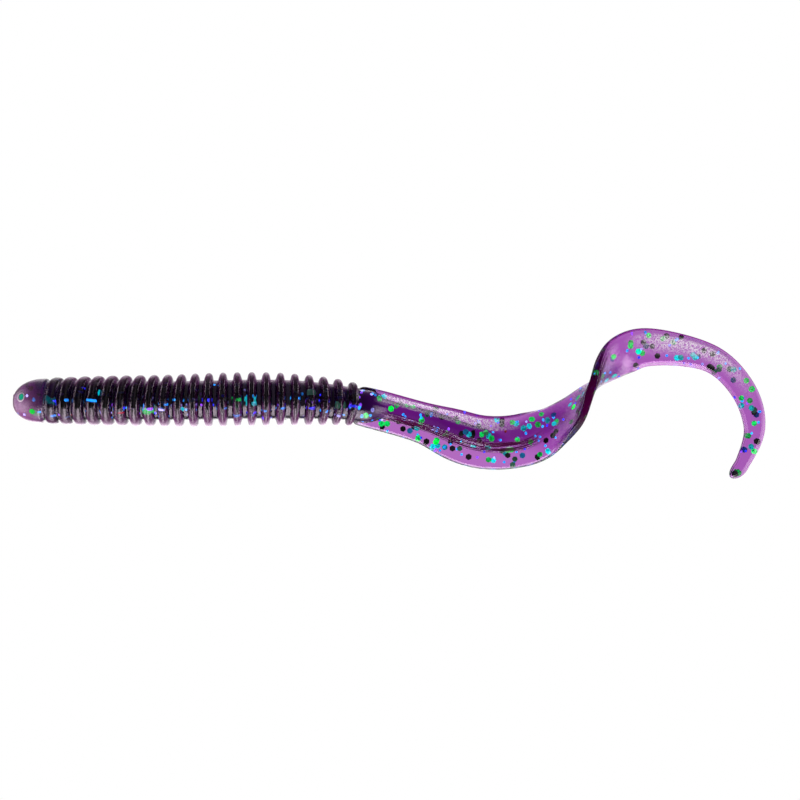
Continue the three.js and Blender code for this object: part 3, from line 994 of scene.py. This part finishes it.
def drawn_zones(n):
    """How strongly fine lines show: beside the ridge, where the ribbon turns over, and on the body."""
    ridge = n.times(n.patch(*RIDGE_FLANK), RIDGE_LINES)
    turn = n.times(n.zone("place", *TURN_LINED), TURN_LINES)
    body = n.ramp(n.attribute("place"), *BODY_LINES_PLACES, 0.0, BODY_LINES)
    return n.most(n.most(ridge, turn), body)


def turned_edge(n):
    """1 on the edge that faces the camera's side where the ribbon turns over; painted shade is laid along
    lines there.
    """
    return n.times(n.zone("place", *TURNED_EDGE), n.ramp(n.attribute("share"), *TURNED_SHARES))


def rims(n, share):
    """How much the rims' deeper purple shows: on the stem's top, and on both edges of the sickle."""
    place = n.attribute("place")
    thinner = n.ramp(place, *THIN_RIM_PLACES, 1.0, THIN_RIM)
    upper = n.times(n.ramp(share, *UPPER_RIM_SHARES, 0.0, ON_UPPER_RIM), thinner)
    lower = n.ramp(share, *LOWER_RIM_SHARES, 0.0, ON_LOWER_RIM)
    inner_line = n.times(n.zone("share", *INNER_LINE), ON_INNER_LINE)
    sickle = n.times(n.most(n.most(upper, lower), inner_line), n.ramp(place, *SICKLE_PLACES))
    stem = n.times(n.zone("place", *STEM_RIM), n.ramp(share, *STEM_RIM_SHARES, 0.0, ON_STEM_RIM))
    return n.most(sickle, stem)


def drawn_lines(n):
    """Fine lines that run along the worm, where the mould was polished. They shape the skin's relief, and
    painted shade is laid where they are low, beside the ridge and on the turned edge.
    """
    along_worm = n.times(n.attribute("place"), LINES_ALONG)
    across_worm = n.times(n.attribute("share"), LINES_ACROSS)
    where = n.add("CombineXYZ", {0: along_worm, 1: across_worm}).outputs[0]
    noise = {"Vector": where, "Scale": 1.0, "Detail": 3.0, "Roughness": 0.6}
    return n.add("TexNoise", noise).outputs["Fac"]


def bubble_ring(n):
    """1 on the thin ring that an air bubble left beside the nose."""
    off = n.math("ABSOLUTE", n.math("SUBTRACT", n.attribute("from_bubble"), BUBBLE_RADIUS))
    return n.ramp(off, BUBBLE_LINE, 0.0)


FOIL_NOISE = 4200                      # in waves a metre
FOIL_RELIEF = 0.00004                  # in metres
FOIL_ROUGHNESS = 0.35
FOLDS = (0.38, 0.6)                    # of that noise
FOLD_PAINTED_GLINT = (0.25, 1.3)                # how much of its painted glint a fold has, at the ends of that range


def foil(name):
    """Metallised glitter: coloured foil, a little crinkled, that throws back light, with a painted glint: it
    glows by emission in its own colour, more on some folds than on others.
    """
    material, n = new_material(name)
    tone = n.attribute("tone", "Color")
    crinkle = n.noise(FOIL_NOISE, detail=2.0)
    bump = n.bump(crinkle, strength=0.3, distance=FOIL_RELIEF)
    # the painted glint: the foil glows by emission in its own colour
    strength = n.times(n.attribute("painted_glint"), n.ramp(crinkle, *FOLDS, *FOLD_PAINTED_GLINT))
    n.finish(n.add("BsdfPrincipled", {
        "Base Color": tone, "Metallic": 0.85, "Roughness": FOIL_ROUGHNESS, "Normal": bump,
        "Emission Color": tone, "Emission Strength": strength,
    }).outputs[0])
    return material


# ---------- studio ----------

# Light round the worm, in rows of (degrees, strength): 0 from the camera's side, 90 from above, -90 from
# below, 180 from behind. The skin mirrors the first table, and far to the left and right the third one. Rays
# that have come through the plastic see the second.
REFLECTED = (
    (-180, 1.0), (-148, 3.0), (-136, 0.3), (-120, 0.3), (-108, 4), (-78, 9), (-45, 8.5), (-34, 0.35),
    (100, 0.35), (115, 0.9), (140, 1.8), (180, 0.7),
)
SEEN_THROUGH = (
    (-180, 1.0), (-150, 0.95), (-120, 0.85), (-90, 0.65), (-60, 0.4), (-30, 0.08), (0, 0.02), (60, 0.1),
    (90, 0.6), (140, 0.9), (180, 1.0),
)
FROM_THE_SIDES = (
    (-180, 1.5), (-120, 2.5), (-60, 3.5), (-20, 3.0), (0, 1.5), (10, 0.02), (40, 0.05), (70, 1.5),
    (120, 2.5), (180, 1.5),
)
BRIGHTEST = 10.0             # a colour ramp holds no more than 1, so strengths are divided by this
# By how far to the side a direction points, from 0 to 1, the first table fades out and the third comes in.
FRONTS_FADE = (0.42, 0.12)
FRONTS_LEAST = 0.2
SIDES_RISE = (0.6, 0.85)


def make_world():
    """Soft studio light that stays with the camera."""
    world = bpy.data.worlds.new("studio")
    bpy.context.scene.world = world
    world.use_nodes = True
    n = Nodes(world.node_tree)
    direction = n.add("TexCoord").outputs["Generated"]
    turned = n.add("VectorTransform", {"Vector": direction}, vector_type="VECTOR",
                   convert_from="WORLD", convert_to="CAMERA").outputs[0]
    axes = n.add("SeparateXYZ", {0: turned}).outputs
    beside = n.math("ABSOLUTE", axes[0])
    angle = n.math("ARCTAN2", axes[1], n.times(axes[2], -1.0))
    round_it = n.math("ADD", n.math("DIVIDE", angle, 2 * math.pi), 0.5)
    fronts = n.times(n.levels(round_it, REFLECTED), n.ramp(beside, *FRONTS_FADE, FRONTS_LEAST, 1.0))
    sides = n.times(n.levels(round_it, FROM_THE_SIDES), n.ramp(beside, *SIDES_RISE))
    paths = n.add("LightPath").outputs
    mirrored = n.math("ADD", fronts, sides)
    light = n.pick(paths["Is Transmission Ray"], mirrored, n.levels(round_it, SEEN_THROUGH))
    light = n.pick(paths["Is Camera Ray"], light, 1.0)
    background = n.add("Background", {"Color": (1, 1, 1, 1), "Strength": light}).outputs[0]
    n.add("OutputWorld", {"Surface": background})


FLOOR_REACH = 40             # its radius, in worm lengths
FLOOR_DROP = 0.5             # how far below the worm it is, in worm lengths
FLOOR_CORNERS = 48


def make_floor():
    """A plain pale floor well below the worm, seen only by the camera."""
    low, high = cad_box
    centre = (low + high) / 2
    reach = FLOOR_REACH * (high.x - low.x)
    level = low.z - FLOOR_DROP * (high.x - low.x)
    corners = []
    for number in range(FLOOR_CORNERS):
        angle = number * 2 * math.pi / FLOOR_CORNERS
        corners.append((centre.x + reach * math.cos(angle), centre.y + reach * math.sin(angle), level))
    mesh = fill("floor", corners, [tuple(range(FLOOR_CORNERS))])
    material, n = new_material("floor")
    n.finish(n.add("Emission", {"Color": (1, 1, 1, 1), "Strength": 1.0}).outputs[0])
    mesh.materials.append(material)
    floor = put_in_scene(mesh)
    for kind in ("diffuse", "glossy", "transmission", "volume_scatter", "shadow"):
        setattr(floor, f"visible_{kind}", False)


FRAME_SHARE = 1.061          # the picture's width beside the worm's length
AIM_RIGHT = 0.0146           # how far right of the worm's middle the camera stands, in worm lengths
LENS = 180
SENSOR_WIDTH = 36


def make_camera():
    """A long lens square to the worm, level with its nose."""
    low, high = cad_box
    centre = (low + high) / 2
    length = high.x - low.x
    data = bpy.data.cameras.new("camera")
    data.lens = LENS
    data.sensor_width = SENSOR_WIDTH
    data.clip_start = 0.01
    data.clip_end = 20
    distance = FRAME_SHARE * length * LENS / SENSOR_WIDTH
    camera = put_in_scene(data)
    camera.location = (centre.x + AIM_RIGHT * length, centre.y - distance, 0)
    camera.rotation_euler = (math.pi / 2, 0, 0)
    bpy.context.scene.camera = camera


# ---------- the worm ----------


def make_worm():
    skin_material = plastic("purple_plastic")
    flake_materials = {"big": foil("big_glitter"), "small": foil("small_glitter")}
    for number in range(len(HINGES)):
        skin, start, end = make_skin(number, skin_material)
        stands_for = [BODIES[number]] + ([BODIES[-1]] if number == len(HINGES) - 1 else [])
        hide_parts(*stands_for)
        make_flakes(number, flake_materials)


make_worm()
make_world()
make_floor()
make_camera()

MOST_BOUNCES = 16            # so that light gets through the flakes and the skin's two sides
scene = bpy.context.scene
scene.view_settings.view_transform = "Standard"
scene.cycles.max_bounces = MOST_BOUNCES
scene.cycles.transmission_bounces = MOST_BOUNCES
scene.cycles.transparent_max_bounces = MOST_BOUNCES
